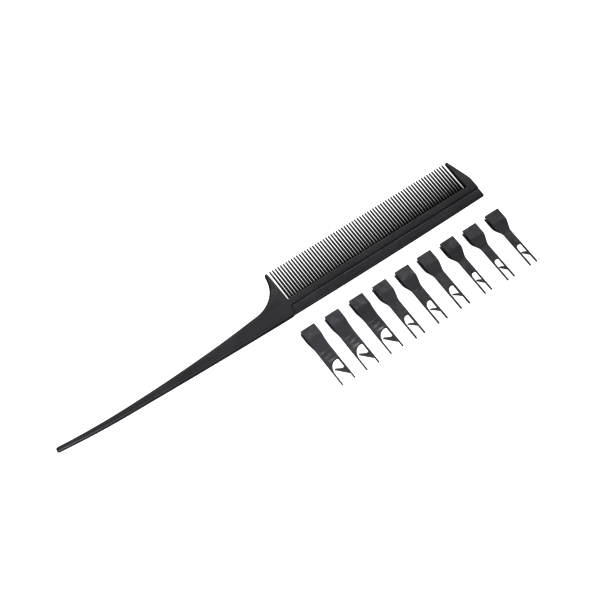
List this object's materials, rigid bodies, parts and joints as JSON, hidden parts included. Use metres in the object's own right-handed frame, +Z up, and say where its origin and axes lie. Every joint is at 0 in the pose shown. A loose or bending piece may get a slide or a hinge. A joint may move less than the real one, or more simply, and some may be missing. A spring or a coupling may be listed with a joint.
{
  "type": "rat tail comb",
  "caption": "Slim plastic comb with fine close teeth and a long tapering tail, laid out with clip-on section hooks that push onto the thin rail along its spine.",
  "frame": {"origin": "middle of the laid-out set, on the surface it lies on", "axes": "+X along the comb towards its toothed end, away from the tail; +Y the way the teeth point; +Z up"},
  "size_m": [0.2402, 0.069, 0.0036],
  "materials": {
    "comb_plastic": "satin moulded, charcoal black",
    "hook_plastic": "semi-gloss moulded, black"
  },
  "bodies": {
    "comb": {"comb_body": "comb_plastic"},
    "wide_hook_1": {"wide_hook_1": "hook_plastic"},
    "wide_hook_2": {"wide_hook_2": "hook_plastic"},
    "wide_hook_3": {"wide_hook_3": "hook_plastic"},
    "medium_hook_1": {"medium_hook_1": "hook_plastic"},
    "medium_hook_2": {"medium_hook_2": "hook_plastic"},
    "medium_hook_3": {"medium_hook_3": "hook_plastic"},
    "narrow_hook_1": {"narrow_hook_1": "hook_plastic"},
    "narrow_hook_2": {"narrow_hook_2": "hook_plastic"},
    "narrow_hook_3": {"narrow_hook_3": "hook_plastic"}
  },
  "joints": [
    {"name": "wide_hook_1_slide", "type": "slide", "parent": "comb", "child": "wide_hook_1", "axis": [0.3616, 0.9323, 0], "range_m": [0, 0.01507]},
    {"name": "wide_hook_2_slide", "type": "slide", "parent": "comb", "child": "wide_hook_2", "axis": [0, 1, 0], "range_m": [0, 0.0143]},
    {"name": "wide_hook_3_slide", "type": "slide", "parent": "comb", "child": "wide_hook_3", "axis": [0, 1, 0], "range_m": [0, 0.01405]},
    {"name": "medium_hook_1_slide", "type": "slide", "parent": "comb", "child": "medium_hook_1", "axis": [0, 1, 0], "range_m": [0, 0.0144]},
    {"name": "medium_hook_2_slide", "type": "slide", "parent": "comb", "child": "medium_hook_2", "axis": [0, 1, 0], "range_m": [0, 0.0143]},
    {"name": "medium_hook_3_slide", "type": "slide", "parent": "comb", "child": "medium_hook_3", "axis": [0, 1, 0], "range_m": [0, 0.0141]},
    {"name": "narrow_hook_1_slide", "type": "slide", "parent": "comb", "child": "narrow_hook_1", "axis": [0, 1, 0], "range_m": [0, 0.0143]},
    {"name": "narrow_hook_2_slide", "type": "slide", "parent": "comb", "child": "narrow_hook_2", "axis": [0, 1, 0], "range_m": [0, 0.0149]},
    {"name": "narrow_hook_3_slide", "type": "slide", "parent": "comb", "child": "narrow_hook_3", "axis": [0, 1, 0], "range_m": [0, 0.0147]}
  ]
}
